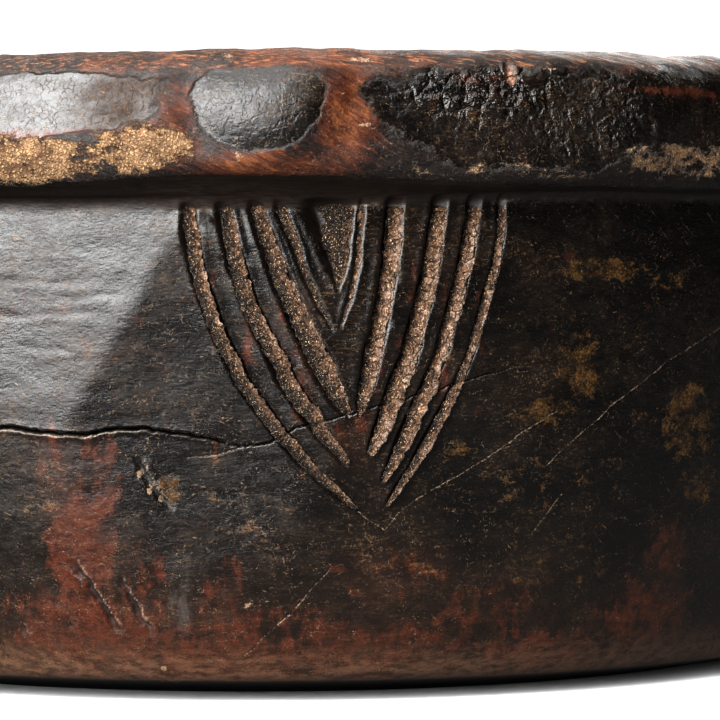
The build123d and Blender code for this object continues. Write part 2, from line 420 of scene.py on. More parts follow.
# %% Flats of the wall, waves, tool marks and knocks
WALL_FLATS = [
    (-61.0, 92.0, 1.9, -0.05), (-30.0, 30.0, 0.35, 0.06), (58.0, 66.0, 0.5, 0.0),
    (18.0, 24.0, 0.4, 0.12),
]
for i in range(22):
    place = 110.0 + 800.0 * i / 22
    WALL_FLATS.append((place, pick.uniform(25, 95), pick.uniform(0.4, 0.9), pick.uniform(-0.03, 0.05)))
wall_cut = np.zeros(count)
for middle, high_at, depth, lean in WALL_FLATS:
    facing = np.maximum(np.cos(round_gap(middle) / BULGE), 0.5)
    plane = (wall_radius(high_at) - depth + lean * (z - high_at)) / facing
    over = np.where(facing > 0.8, radius - plane, -5.0)
    wall_cut = np.maximum(wall_cut, np.log1p(np.exp(np.clip(over * 4.0, -30, 30))) / 4.0)
relief -= np.minimum(wall_cut, 2.2) * on_wall
relief += 0.30 * rough(plain, 46.0, 11, 2) * np.maximum(on_wall, on_rim)
relief += 0.12 * rough(plain, 9.0, 21, 3) * (0.4 + on_rim)
relief += 0.07 * hills(plain, (26.0, 5.0, 2.6), 31) * on_wall
crown = soft_step(z, TALL - 6.0, TALL - 2.0) * on_rim
streaks = np.stack([plain[:, 0] - plain[:, 2] * 0.6, plain[:, 1], plain[:, 2] + plain[:, 0] * 0.3], axis=1)
relief += 0.12 * crown * rough(streaks, (20.0, 3.0, 3.0), 41, 2)
hollow = soft_step(s, S_HOLLOW - 4.0, S_HOLLOW + 10.0)
relief += 0.5 * hollow * np.abs(hills(plain, (15.0, 15.0, 12.0), 51))
gouge = np.zeros(count)
gouge_lip = np.zeros(count)
shaken = arc + 0.7 * hills(sheet_place, 2.4, 55) + 0.35 * hills(sheet_place, 0.9, 56)
for begin, finish, half, depth in KNOCKS:
    gap, reached = to_segments([begin, finish], shaken, z + 0.4 * hills(sheet_place, 3.0, 58))
    fade = np.clip(4.0 * np.minimum(reached, 1.0 - reached) + 0.35, 0.0, 1.0)
    cut = depth * fade * on_wall
    relief -= cut * np.exp(-(gap / half) ** 2)
    relief += 0.5 * cut * np.exp(-((gap - 1.7 * half) / half) ** 2)
    # Painted shade: each knock's core is marked to be laid almost black; its lower lip is marked for a
    # painted highlight.
    gouge = np.maximum(gouge, cut / 0.6 * np.exp(-(gap / (0.7 * half)) ** 2))
    below_it = (arc - begin[0]) * (finish[1] - begin[1]) - (z - begin[1]) * (finish[0] - begin[0]) < 0
    gouge_lip = np.maximum(gouge_lip, cut * below_it * np.exp(-((gap - 1.25 * half) / (0.30 * half)) ** 2))
shine, _ = to_segments([(-35.0, 27.0), (-35.5, 17.0)], arc, z)
relief += 0.55 * np.exp(-(shine / 3.0) ** 2) * on_wall

# %% Cut the chip out of the rim
chip_far = np.hypot((arc - NICK[0]) / 1.35, (z - NICK[1]) / 2.6) + 0.18 * hills(plain, 1.2, 57)
chip = 1.0 - soft_step(chip_far, 0.55, 1.0)
chip *= (s > S_EDGE) & (s < S_LIP)
relief -= 1.2 * chip
relief += 0.25 * np.exp(-((chip_far - 1.35) / 0.3) ** 2) * (s > S_EDGE) * (s < S_LIP)

# %% [markdown]
# ## Cutting the grooves
# A gouge leans as it is pushed, so each groove has a steep side on the left and a long easy side
# on the right. The same shape is used twice: it is cut out of the wood here, and later the crust
# is laid in it.

# %% The groove's section, cut into the skin
STEEP = -0.50                # where the bottom lies, in half widths from the middle
WIDEST = 2.6                 # half width past which a cut gets no deeper


def groove_depth(side, half):
    """Depth below the wall at side half widths from the stroke's middle line."""
    steep = soft_step(side, -1.1, STEEP)
    easy = 1.0 - np.clip((side - STEEP) / (1.12 - STEEP), 0.0, 1.0) ** 1.15
    return half * STROKE_DEPTH * np.where(side < STEEP, steep, easy)


def side_of_stroke(stroke, arc_places, z_places):
    """Which side of the stroke and how far, in half widths, with the half width there."""
    t, place, half, heading = stroke_line(stroke, 60)
    d_arc = arc_places[:, None] - place[None, :, 0]
    d_z = z_places[:, None] - place[None, :, 1]
    nearest = np.argmin(d_arc ** 2 + d_z ** 2, axis=1)
    pick_one = np.arange(len(arc_places))
    h = heading[nearest]
    side = -(d_arc[pick_one, nearest] * h[:, 1] - d_z[pick_one, nearest] * h[:, 0])
    beyond = d_arc[pick_one, nearest] * h[:, 0] + d_z[pick_one, nearest] * h[:, 1]
    past_end = np.where((nearest == 0) | (nearest == len(t) - 1), np.abs(beyond), 0.0)
    return side / half[nearest], half[nearest], past_end


groove = np.zeros(count)
lip = np.zeros(count)
where = np.flatnonzero((s > S_WALL) & (s < S_EDGE) & (np.abs(local) < 45.0))
wobble = 0.35 * hills(sheet_place[where], 6.0, 61) + 0.15 * hills(sheet_place[where], 2.0, 62)
for stroke in STROKES + [TRIANGLE]:
    side, half, past_end = side_of_stroke(stroke, local[where] + wobble, z[where])
    fade = 1.0 - soft_step(past_end, 0.0, 0.8)
    depth = groove_depth(side, np.minimum(half, WIDEST)) * fade
    groove[where] = np.maximum(groove[where], depth)
    lip[where] = np.maximum(lip[where], np.exp(-((np.abs(side) - 1.3) * half / 0.8) ** 2) * fade)
under_rim = soft_step(z, WALL_TOP - 1.0, WALL_TOP + 2.2)
relief -= groove * (1 - under_rim)
relief += 0.22 * lip * (groove < 0.15) * (1 - under_rim)
print("deepest groove", round(float(groove.max()), 2), "mm")

# %% Open the crack and mark the hairlines
FAR = 3.0                     # beyond this, distance to a crack doesn't matter


def crack_shape(arc_places, z_places):
    """Distance to the open crack, its half width there, and whether a place lies under it."""
    flat_places = np.stack([arc_places, z_places, np.zeros(len(arc_places))], axis=1)
    shaken = z_places + 0.40 * hills(flat_places, 3.4, 71) + 0.18 * hills(flat_places, 1.1, 72)
    gap, reached = to_segments(OPEN_CRACK, arc_places, shaken)
    half = 0.44 * (1.0 - 0.66 * soft_step(reached, 0.30, 0.60)) * (1 - 0.7 * soft_step(reached, 0.85, 1.0))
    under = np.interp(arc_places, *np.array(OPEN_CRACK, float).T) > shaken
    return gap, half, under, reached


crack = np.zeros(count)
dust_and_highlight = np.zeros(count)
hairline = np.full(count, FAR)
band = np.flatnonzero((s > S_BASE) & (s < S_LIP) & at_front(arc))
gap, open_half, under, reached = crack_shape(arc[band], z[band])
crack[band] = 1.0 - soft_step(gap, open_half * 0.5, open_half * 1.1)
relief[band] -= 2.4 * crack[band] * open_half / 0.44
# Painted highlight: the open crack's lower lip is marked to be laid pale, as if lit from above.
lit = 0.6 * np.exp(-((gap - open_half * 1.35) / 0.20) ** 2) * under
lit *= 1 - 0.85 * soft_step(reached, 0.20, 0.36)
dust_and_highlight[band] = lit * (0.55 + 0.45 * hills(sheet_place[band], 2.2, 73))
raised = np.exp(-((gap - open_half * 1.3) / 0.7) ** 2) * (1 - soft_step(reached, 0.3, 0.5))
relief[band] += np.where(under, 0.28, 0.10) * raised
shaken_arc = arc[band] + 0.30 * hills(sheet_place[band], 2.6, 75) + 0.12 * hills(sheet_place[band], 0.9, 76)
for line in HAIRLINES:
    gap, _ = to_segments(line, shaken_arc, z[band])
    hairline[band] = np.minimum(hairline[band], gap)
relief -= 0.08 * (1.0 - soft_step(hairline, 0.05, 0.30))
print("crack corners", int((crack > 0.5).sum()))

# %% [markdown]
# ## Where the surface is worn
# Wear follows use. Drips and knocks break the dark skin into ochre patches, cloths rub it down to
# red, and dust lies where nothing wipes. Each kind is listed as soft ovals of (arc, height, half
# width, half height, strength), as far as the front goes, and scattered over the rest.

# A few of these layers are painted light and shade, not wear: a sheen, lit lower lips, bounce light on the
# base band and shade under the base.
# %% Paint the wear, painted shade and painted highlights on the skin
def ovals(spots):
    """Soft ovals painted on the outside of the bowl."""
    total = np.zeros(count)
    for a, h, wide, tall, strength in spots:
        far = (round_gap(a) / wide) ** 2 + ((z - h) / tall) ** 2
        total = np.maximum(total, strength * np.exp(-far ** 2.0))
    return total * outside


def scatter(number, z_range, wide_range, tall_range, strength, seed):
    """Ovals spread over the part of the bowl whose wear isn't listed one by one."""
    draw = np.random.default_rng(seed)
    return [
        (draw.uniform(105.0, ROUND - 88.0), draw.uniform(*z_range), draw.uniform(*wide_range),
         draw.uniform(*tall_range), strength * draw.uniform(0.6, 1.0))
        for _ in range(number)
    ]


RED = [
    (-57, 34, 8, 14, 1.0), (-62, 52, 6, 9, 0.5), (-56, 16, 22, 11, 0.85), (-20, 15, 26, 9, 0.6),
    (36, 18, 16, 9, 0.5), (-52, 50, 6, 10, 0.6), (-30, 10, 30, 7, 0.85), (-24, 24, 4, 10, 0.6),
    (-44, 24, 8, 12, 0.55), (-8, 74, 3, 14, 0.5), (22, 76, 1.6, 18, 0.55), (3, 58, 5, 7, 0.45),
    (-20, 84, 1.4, 14, 0.55), (-27.5, 84, 1.3, 12, 0.5), (-13, 76, 1.6, 9, 0.4), (8, 78, 1.4, 12, 0.45),
    (15, 84, 1.3, 14, 0.45), (30, 80, 1.2, 12, 0.4), (6, 12, 26, 7, 0.75), (12, 28, 16, 7, 0.4),
    (46, 10, 18, 6, 0.7), (79, 32, 7, 9, 0.6), (74, 17, 16, 9, 0.7), (74, 131, 17, 1.4, 0.8),
    (-60, 121.2, 24, 1.3, 0.9), (30, 134, 10, 1.6, 0.5), (-66, 84, 10, 3, 0.35), (-50, 76, 8, 3, 0.3),
]
OCHRE = [
    (-66, 116.4, 20, 4.6, 1.15), (-40, 118.0, 11, 5.4, 1.15), (44, 96, 4, 2.4, 0.8),
    (60, 93, 12, 2.8, 0.95), (53, 74, 6, 7, 0.85), (55, 68, 5, 4, 0.9), (46, 63, 9, 4, 0.75),
    (83, 60, 9, 11, 0.8), (86, 46, 8, 8, 0.6), (70, 61, 4, 2.5, 0.6), (36, 46, 26, 10, 0.40),
    (14, 33, 16, 9, 0.38), (-22, 40, 16, 11, 0.36), (-37, 47, 3, 5, 0.8), (74, 117, 20, 3.2, 0.75),
    (30, 114.5, 26, 1.8, 0.45), (-70, 100, 5, 1.5, 0.6), (-18, 98, 6, 1.6, 0.4), (78, 90, 8, 5, 0.45),
    (24, 55, 5, 3, 0.5), (62, 48, 6, 5, 0.5), (-66, 44, 7, 4, 0.4), (50, 30, 22, 8, 0.35),
]
red = ovals(RED + scatter(46, (6, 100), (5, 18), (5, 16), 0.9, 101))
under_edge = scatter(26, (114, 119), (8, 22), (3, 5), 1.1, 105)
ochre = ovals(OCHRE + under_edge + scatter(60, (20, 100), (4, 16), (2, 8), 0.8, 102))
DARK_RIM = [(54, 115, 48, 5.0, 0.95), (68, 127, 8, 12, 0.95), (-46, 127, 9, 7, 0.45), (94, 125, 20, 14, 0.8)]
dark_rim = ovals(DARK_RIM + scatter(26, (112, 134), (5, 22), (4, 9), 0.9, 108))
# Painted sheen: the two listed ovals on the ridge at the lower left stand in for its grey highlight; the
# scattered ones are scuffs.
SHEEN_SPOTS = [(-35, 21, 2.4, 5.5, 0.6), (-33.5, 30, 1.6, 5.0, 0.25)]
scuff_and_sheen = ovals(SHEEN_SPOTS + scatter(20, (15, 90), (2, 5), (4, 9), 0.7, 109))
rust = on_rim * (1 - patina)
BRIGHT_RUST = [
    (-36, 127, 8, 9, 0.9), (-34, 117, 8, 5, 0.8), (-18, 114, 17, 4.5, 1.0), (0, 125, 7.5, 12, 1.2),
    (-8, 138, 16, 4, 0.9), (-40, 137, 22, 3, 0.5), (-60, 123, 30, 3, 0.7), (-78, 114, 14, 3, 0.5),
    (66, 133, 26, 3, 0.45), (12, 137, 12, 2.4, 0.5),
]
PALE_CHIPS = [
    (-21.5, 116.4, 0.6, 2.0, 0.6), (-6.5, 115.6, 0.5, 1.6, 0.5), (3.5, 137.9, 3.4, 0.7, 0.6),
    (3.6, 123.3, 1.6, 0.35, 0.8), (-0.6, 129.6, 0.4, 0.6, 0.9), (0.4, 123.4, 0.3, 0.4, 0.9),
    (-5, 132, 0.3, 2.4, 0.4), (-24, 138.6, 1.6, 0.6, 0.5), (-43.4, 50.0, 0.9, 1.2, 0.7),
    (-41.3, 46.5, 0.7, 1.4, 0.7), (-39.0, 44.4, 0.7, 0.9, 0.7), (-57, 26, 0.3, 1.2, 0.4),
    (-47, 17.6, 0.8, 0.3, 0.6), (-44, 12, 0.4, 1.0, 0.7), (-39.5, 8.0, 0.8, 0.7, 0.9),
    (-4.6, 16.7, 1.1, 0.5, 0.9), (-3.0, 17.9, 0.4, 0.5, 0.9), (44, 136, 3.0, 0.35, 0.5),
    (66, 136.5, 5, 0.3, 0.5), (-36.5, 54.5, 1.2, 0.5, 0.6), (-13, 57, 0.7, 0.4, 0.8),
    (9, 69, 0.3, 0.8, 0.5), (-68, 101, 0.8, 0.5, 0.6), (-20, 22, 0.4, 0.4, 0.8),
    (12, 31, 0.5, 0.3, 0.7),
]
pale = ovals(PALE_CHIPS + scatter(70, (8, 138), (0.4, 1.6), (0.4, 1.4), 0.8, 107))
bright_rust = ovals(BRIGHT_RUST + scatter(44, (114, 139), (6, 16), (3, 9), 1.0, 106))
# The band above the base edge is rubbed wood with painted bounce light from the white table laid into it.
base_rub_and_bounce = (1 - soft_step(z, 6.0, 15.0)) * (s > S_BASE) * (s < S_UNDER)
soot = soft_step(s, S_UNDER - 0.6, S_UNDER + 0.6) * (1 - soft_step(s, S_EDGE - 0.3, S_EDGE + 1.2))
# Painted shade: the underside below the base edge is marked to be laid almost black.
below_base = 1 - soft_step(s, S_BASE - 1.2, S_BASE + 0.2)
dust_line = np.exp(-((s - S_UNDER + 0.4 + 0.5 * hills(plain, 3.0, 84)) / 0.24) ** 2)
dust_line *= soft_step(hills(plain, (6.0, 6.0, 2.0), 83), -0.5, 0.5)
dust_and_highlight = np.maximum(dust_and_highlight, 0.45 * dust_line)
# Painted highlight: the knocks' lower lips join the same pale layer.
dust_and_highlight = np.maximum(dust_and_highlight, 1.3 * np.maximum(gouge_lip - 0.10, 0.0))
CRACKLE = [(29, 131, 15, 6.5, 1.0), (58, 126, 6, 8, 0.3)]
crackled = ovals(CRACKLE + scatter(12, (120, 132), (10, 20), (6, 9), 1.0, 103))
big_crackle = in_patch["plates"] * (0.12 + 0.88 * crackled)
fine_right = in_patch["fine"] * ovals([(-41, 127, 14, 11, 1.0)])
creased = ovals([(53, 124, 15, 10, 1.0)] + scatter(12, (120, 132), (10, 20), (6, 9), 1.0, 110))
wrinkled = in_patch["plates"] * (0.30 + 0.70 * creased)
print("painted", int((ochre > 0.5).sum()), "ochre corners,", int((red > 0.5).sum()), "red corners")

# %% Let the rim's edges wander
EDGE_LIFT = [
    (-84, -1.6), (-60, -1.0), (-44, -0.2), (-30, 0.9), (-12, 0.7), (5, 0.0), (30, -1.0), (60, -1.6),
    (102, -2.0),
]
FOOT_LIFT = [(-84, -0.6), (-40, -0.5), (-10, 0.0), (10, 0.9), (30, 1.8), (60, 2.0), (102, 2.0)]
CROWN_LIFT = [(-84, -1.6), (-60, -1.1), (-30, -0.6), (0, -0.5), (50, -0.7), (102, -0.9)]


def lifted(knots, seed):
    """A height change round the rim: from the given knots in front, at random elsewhere."""
    knots = np.array(knots, float)
    around = np.stack([40 * np.sin(bearing), 40 * np.cos(bearing), np.zeros(count)], axis=1)
    by_hand = np.interp(arc, knots[:, 0], knots[:, 1])
    blend = soft_step(arc, FRONT_LEFT - 26.0, FRONT_LEFT)
    blend *= 1 - soft_step(arc, FRONT_RIGHT, FRONT_RIGHT + 26.0)
    return by_hand * blend + 1.1 * hills(around, 14.0, seed) * (1 - blend)


lift = lifted(EDGE_LIFT, 91) * np.exp(-((s - S_EDGE - 1.5) / 5.0) ** 2)
lift += lifted(FOOT_LIFT, 92) * np.exp(-((s - S_UNDER) / 4.5) ** 2)
lift += (lifted(CROWN_LIFT, 93) - 0.3) * soft_step(z, TALL - 14.0, TALL) * (s > S_EDGE) * (1 - hollow)

# %% Wrap the sheet into a bowl
relief = np.where(s < S_BASE, relief * 0.25, relief)
new_radius = np.maximum(radius + relief * out_r, 0.0)
new_z = z + relief * out_z + lift
new_z = np.where(s < S_WALL, np.maximum(new_z, 0.0), new_z)
middle_floor = s > along[-1] - 1e-6
new_radius[(s < 1e-6) | middle_floor] = 0.0
new_z[middle_floor] = np.median(new_z[s > along[-1] - 12.0])
new_z[s < 1e-6] = 0.0
shaped = np.stack([new_radius * np.sin(bearing), -new_radius * np.cos(bearing), new_z], axis=1) * MM
skin.vertices.foreach_set("co", shaped.ravel())
LAYERS = {
    "red": red, "ochre": ochre, "rust": rust, "bright_rust": bright_rust, "pale": pale,
    "base_rub_and_bounce": base_rub_and_bounce, "plates": big_crackle, "plate_patch": in_patch["plates"],
    "fine": in_patch["fine"], "fine_right": fine_right, "leather": in_patch["leather"],
    "bare": in_patch["bare"], "crown": crown, "groove": np.clip(groove / 0.5, 0, 1) * (1 - under_rim),
    "crack": crack, "hairline": hairline, "dust_and_highlight": dust_and_highlight, "soot": soot, "below_base": below_base,
    "chip": chip, "hollow": hollow, "gouge": gouge, "scuff_and_sheen": scuff_and_sheen, "dark_rim": dark_rim,
    "wrinkled": wrinkled, "high": z / TALL,
}
for name, values in LAYERS.items():
    layer = skin.attributes.new(name, "FLOAT", "POINT")
    layer.data.foreach_set("value", np.ascontiguousarray(values, dtype=np.float32))

joined = bmesh.new()
joined.from_mesh(skin)
bmesh.ops.remove_doubles(joined, verts=joined.verts, dist=0.004 * MM)
bmesh.ops.dissolve_degenerate(joined, edges=joined.edges, dist=0.001 * MM)
joined.to_mesh(skin)
open_edges = sum(e.is_boundary for e in joined.edges)
volume = joined.calc_volume()
joined.free()
skin.shade_smooth()
triangles = sum(len(p.vertices) - 2 for p in skin.polygons)
print("open edges", open_edges, "volume", round(volume * 1000, 2), "litres,", triangles, "triangles")



def put(name, data):
    """A new object in the scene."""
    made = bpy.data.objects.new(name, data)
    bpy.context.scene.collection.objects.link(made)
    return made


bowl = put("carved_bowl", skin)

# %% [markdown]
# ## Finishes
# A finish is a recipe of nodes. Writing sockets one by one hides what a recipe says, so a small
# helper class gives each step a plain name: a cloud is soft noise, cells are the plates of a
# crackle, and lay puts one colour over another where a mask says so. What such a step gives is a
# pattern, and patterns are added and multiplied like numbers.

# %% A helper for patterns
class Pattern:
    """A value, place or colour that varies over the surface. Patterns add and multiply like numbers."""

    def __init__(self, finish, socket):
        self.finish = finish
        self.socket = socket

    def __add__(self, other):
        return self.finish.combine("ADD", self, other)

    def __sub__(self, other):
        return self.finish.combine("SUBTRACT", self, other)

    def __mul__(self, other):
        return self.finish.combine("MULTIPLY", self, other)

    def __abs__(self):
        return self.finish.combine("ABSOLUTE", self)


# %% A helper for finishes
class Finish:
    """Builds one material. Places are in millimetres in the bowl's own frame."""

    def __init__(self, name):
        self.material = bpy.data.materials.new(name)
        self.material.use_nodes = True
        self.tree = self.material.node_tree
        self.tree.nodes.clear()
        self.shader = self.tree.nodes.new("ShaderNodeBsdfPrincipled")
        out = self.tree.nodes.new("ShaderNodeOutputMaterial")
        self.tree.links.new(self.shader.outputs[0], out.inputs["Surface"])
        place = self.node("ShaderNodeTexCoord", {}, "Object")
        self.place = self.scale(place, (1 / MM, 1 / MM, 1 / MM))

    def feed(self, socket, value):
        """A socket takes a pattern, or a plain value; a plain colour is given without its alpha."""
        if isinstance(value, Pattern):
            self.tree.links.new(value.socket, socket)
        elif socket.type == "RGBA":
            socket.default_value = (*value, 1.0)
        else:
            socket.default_value = value

    def node(self, kind, inputs, output, **settings):
        """A new node with its inputs and settings, and the pattern that it gives."""
        made = self.tree.nodes.new(kind)
        for name, value in settings.items():
            setattr(made, name, value)
        for name, value in inputs.items():
            self.feed(made.inputs[name], value)
        return Pattern(self, made.outputs[output])

    def combine(self, operation, a, b=0.0, clamp=False):
        """One line of arithmetic."""
        return self.node("ShaderNodeMath", {0: a, 1: b}, 0, operation=operation, use_clamp=clamp)

    def scale(self, place, factors):
        """Stretches or squeezes the places that a pattern reads."""
        return self.node("ShaderNodeVectorMath", {0: place, 1: factors}, 0, operation="MULTIPLY")

    def turn(self, place, angles):
        """Turns the places, in degrees about X, Y and Z."""
        inputs = {"Vector": place, "Rotation": [math.radians(a) for a in angles]}
        return self.node("ShaderNodeVectorRotate", inputs, 0, rotation_type="EULER_XYZ")

    def nudge(self, place, pattern, amount):
        """Moves the places about by a pattern, so that straight lines wander."""
        inputs = {0: pattern, 1: (amount, amount, amount), 2: place}
        return self.node("ShaderNodeVectorMath", inputs, 0, operation="MULTIPLY_ADD")

    def cloud(self, place, size, detail=3.0, roughness=0.55, colour=False):
        """Soft noise with blobs about size across."""
        inputs = {"Vector": place, "Scale": 1.0 / size, "Detail": detail, "Roughness": roughness}
        return self.node("ShaderNodeTexNoise", inputs, "Color" if colour else "Fac")

    def cells(self, place, size):
        """Distance to the borders of plates about size across."""
        inputs = {"Vector": place, "Scale": 1.0 / size}
        return self.node("ShaderNodeTexVoronoi", inputs, "Distance", feature="DISTANCE_TO_EDGE")

    def step(self, value, start, end, low=0.0, high=1.0):
        """A soft step from low to high while value goes from start to end."""
        inputs = {"Value": value, "From Min": start, "From Max": end, "To Min": low, "To Max": high}
        return self.node("ShaderNodeMapRange", inputs, "Result", interpolation_type="SMOOTHSTEP")

    def lay(self, under, over, mask):
        """Colour over colour, where the mask is 1."""
        return self.node("ShaderNodeMix", {0: mask, 6: under, 7: over}, 2, data_type="RGBA")

    def painted(self, name):
        """One of the wear layers painted on the skin."""
        return self.node("ShaderNodeAttribute", {}, "Fac", attribute_name=name)

    def done(self, colour, roughness, height):
        """Joins colour, roughness and a height in millimetres to the shader."""
        bump = self.node("ShaderNodeBump", {"Distance": MM, "Strength": 1.0, "Height": height}, 0)
        for name, pattern in (("Base Color", colour), ("Roughness", roughness), ("Normal", bump)):
            self.feed(self.shader.inputs[name], pattern)
        return self.material


# %% [markdown]
# ## The dark wood
# The colour of old oiled wood comes in layers: black skin on top, brown under it, then rust-red
# wood where it is rubbed, then dry ochre wood where the skin has broken away. The recipe lays
# them in that order. The fibres run along X through the whole block, so the fine lines run level
# across the front and show as end grain at the sides, as they do on a real block.

# %% Colours of the wood
BLACK = (0.0042, 0.0032, 0.0026)
BROWN = (0.017, 0.0105, 0.0070)
RED_WOOD = (0.135, 0.0360, 0.0165)
RUST_DARK = (0.008, 0.0035, 0.0020)
RUST_WOOD = (0.090, 0.0215, 0.0066)
PALE_WOOD = (0.42, 0.25, 0.14)
OCHRE_DARK = (0.100, 0.048, 0.019)
OCHRE_WOOD = (0.56, 0.350, 0.180)
DUST_AND_HIGHLIGHT = (0.50, 0.40, 0.31)

# %% Patterns that the wood's recipe is made from
f = Finish("dark_carved_wood")
high = f.painted("high")
wander = f.cloud(f.place, 2.2, 3.0, 0.6, colour=True)
small_wander = f.cloud(f.place, 0.7, 2.0, 0.6, colour=True)
fibre_place = f.nudge(f.turn(f.place, (0.0, 2.0, 2.0)), f.cloud(f.place, 12.0, 2.0, 0.5, colour=True), 2.5)
grain = f.cloud(f.scale(fibre_place, (0.06, 1.0, 1.0)), 0.40, 5.0, 0.65)
broad = f.cloud(f.place, 17.0, 6.0, 0.62)
patchy = f.cloud(f.scale(f.place, (0.7, 1.0, 1.0)), 4.0, 8.0, 0.70)
level_patchy = f.cloud(f.scale(fibre_place, (0.35, 1.0, 1.0)), 1.6, 6.0, 0.72)
speck = f.cloud(f.place, 0.5, 4.0, 0.75)
tooth = f.cloud(f.place, 0.9, 5.0, 0.7)

# %% Black skin, brown and red
low_down = f.step(high, 0.36, 0.02, 0.0, 0.34)
brown_sum = broad + low_down + level_patchy * 0.5
colour = f.lay(BLACK, BROWN, f.step(brown_sum, 0.66, 0.98))
colour = f.lay(colour, (0.050, 0.026, 0.0150), f.step(brown_sum, 0.94, 1.16) * 0.8)
upright = f.cloud(f.nudge(f.scale(f.place, (1.0, 1.0, 0.30)), wander, 1.2), 2.2, 7.0, 0.70)
red_noise = patchy + upright - 1.0
red_sum = f.painted("red") + red_noise * 2.3
red_mask = f.step(red_sum, 0.32, 0.95) * f.step(level_patchy, 0.30, 0.62, 0.35, 1.0)
colour = f.lay(colour, RED_WOOD, red_mask * 0.9)
red_veil = f.painted("red") * f.step(broad, 0.35, 0.65)
colour = f.lay(colour, (0.045, 0.013, 0.008), red_veil * 0.5)
# Rubbed base band, lightened as painted bounce light from the table.
base_rub_and_bounce_mask = f.painted("base_rub_and_bounce") * f.step(level_patchy, 0.36, 0.64, 0.15, 0.95)
colour = f.lay(colour, (0.225, 0.120, 0.072), base_rub_and_bounce_mask)

level_streak = f.cloud(f.scale(fibre_place, (0.12, 1.0, 1.0)), 0.55, 5.0, 0.74)
streaked = f.step(level_streak, 0.55, 0.68) * f.step(broad + patchy * 0.5, 0.66, 0.92)
colour = f.lay(colour, (0.175, 0.098, 0.042), streaked * 0.75)

# %% Rust-red wood of the rim
slant = f.turn(f.place, (0.0, -28.0, 4.0))
rust_grain = f.cloud(f.nudge(f.scale(slant, (0.13, 1.0, 1.0)), wander, 0.7), 1.0, 6.0, 0.72)
rust_patch = f.cloud(f.place, 7.0, 6.0, 0.66)
rust_tone = rust_grain + rust_patch * 0.7
rust_tone = rust_tone + (f.painted("bright_rust") - 0.5) * 0.34
rust_colour = f.lay(RUST_DARK, RUST_WOOD, f.step(rust_tone, 0.74, 1.06))
rust_colour = f.lay(rust_colour, (0.24, 0.085, 0.026), f.step(rust_tone, 1.01, 1.24))
grimy_rim = f.painted("dark_rim") * f.step(patchy, 0.66, 0.44, 0.35, 1.0)
rust_colour = f.lay(rust_colour, (0.011, 0.0065, 0.0040), grimy_rim)
crown_warm = f.painted("crown") * f.step(rust_tone, 0.70, 0.98)
rust_colour = f.lay(rust_colour, (0.210, 0.058, 0.0170), crown_warm * 0.75)
crown_place = f.scale(f.turn(f.place, (0.0, -12.0, 0.0)), (0.09, 1.0, 1.0))
crown_streak = f.cloud(f.nudge(crown_place, wander, 0.5), 0.7, 5.0, 0.72)
crown_tint = f.painted("crown") * f.step(crown_streak, 0.56, 0.44)
rust_colour = f.lay(rust_colour, (0.014, 0.0075, 0.0045), crown_tint * 0.85)
crown_tan = f.painted("crown") * f.step(crown_streak, 0.51, 0.66)
rust_colour = f.lay(rust_colour, (0.42, 0.175, 0.070), crown_tan * 0.8)
fleck = f.step(rust_grain + speck * 0.5, 0.86, 0.98)
rust_colour = f.lay(rust_colour, PALE_WOOD, fleck * f.step(f.painted("crown"), 0.0, 1.0, 0.25, 0.8))
rust_sum = f.painted("rust") + (patchy - 0.5) * 1.3
rust_mask = f.step(rust_sum, 0.30, 0.75)
colour = f.lay(colour, rust_colour, rust_mask)

# %% Ochre wood where the skin has broken away
crumble = patchy * 0.45 + (level_patchy * 0.5 + tooth * 0.25)
ochre_sum = f.painted("ochre") + (crumble - 0.615) * 4.2
ochre_mask = f.step(ochre_sum, 0.45, 0.72) * f.step(f.painted("ochre"), 0.06, 0.30)
grit = f.cells(f.nudge(f.place, small_wander, 0.9), 0.75)
ochre_tone = patchy * 0.8 + (grit + tooth) * 0.5
on_rim_ochre = f.step(high, 0.78, 0.80)
ochre_colour = f.lay(OCHRE_DARK, OCHRE_WOOD, f.step(ochre_tone, 0.58, 0.95))
wall_ochre = f.lay((0.024, 0.012, 0.004), (0.235, 0.120, 0.038), f.step(ochre_tone, 0.62, 0.98))
ochre_colour = f.lay(wall_ochre, ochre_colour, on_rim_ochre)
ochre_share = ochre_mask * f.step(high, 0.76, 0.80, 0.75, 1.0)
colour = f.lay(colour, ochre_colour, ochre_share)

# %% Crackle of the rim's black skin
fine_place = f.nudge(f.place, wander, 1.1)
fine_cells = f.cells(fine_place, 1.35)
fine_lines = f.step(fine_cells, 0.075, 0.0) * f.painted("fine")
second_lines = f.step(f.cells(f.nudge(f.place, wander, 1.8), 3.1), 0.06, 0.0)
fine_lines = fine_lines * f.step(patchy, 0.44, 0.60, 0.15, 1.0)
fine_lines = f.combine("MAXIMUM", fine_lines, second_lines * f.painted("fine") * 0.7)
big_place = f.nudge(f.scale(f.place, (1.0, 1.0, 1.15)), f.cloud(f.place, 3.4, 3.0, 0.6, colour=True), 4.2)
big_cells = f.cells(big_place, 4.6)
small_place = f.nudge(f.scale(f.turn(f.place, (0.0, 30.0, 0.0)), (1.0, 1.0, 0.60)), wander, 2.2)
small_cells = f.cells(small_place, 3.1)
some = f.step(rust_patch, 0.42, 0.60, 0.15, 1.0)
colour = f.lay(colour, (0.034, 0.018, 0.0105), f.painted("fine_right") * 0.8)
line_share = f.step(f.painted("fine_right"), 0.0, 0.8, 0.15, 0.6)
colour = f.lay(colour, (0.14, 0.075, 0.038), fine_lines * line_share)
plate_lines = f.step(small_cells, 0.06, 0.0) * f.painted("plate_patch")
plate_lines = plate_lines * f.step(speck, 0.42, 0.60)
colour = f.lay(colour, (0.060, 0.034, 0.018), plate_lines * 0.45)

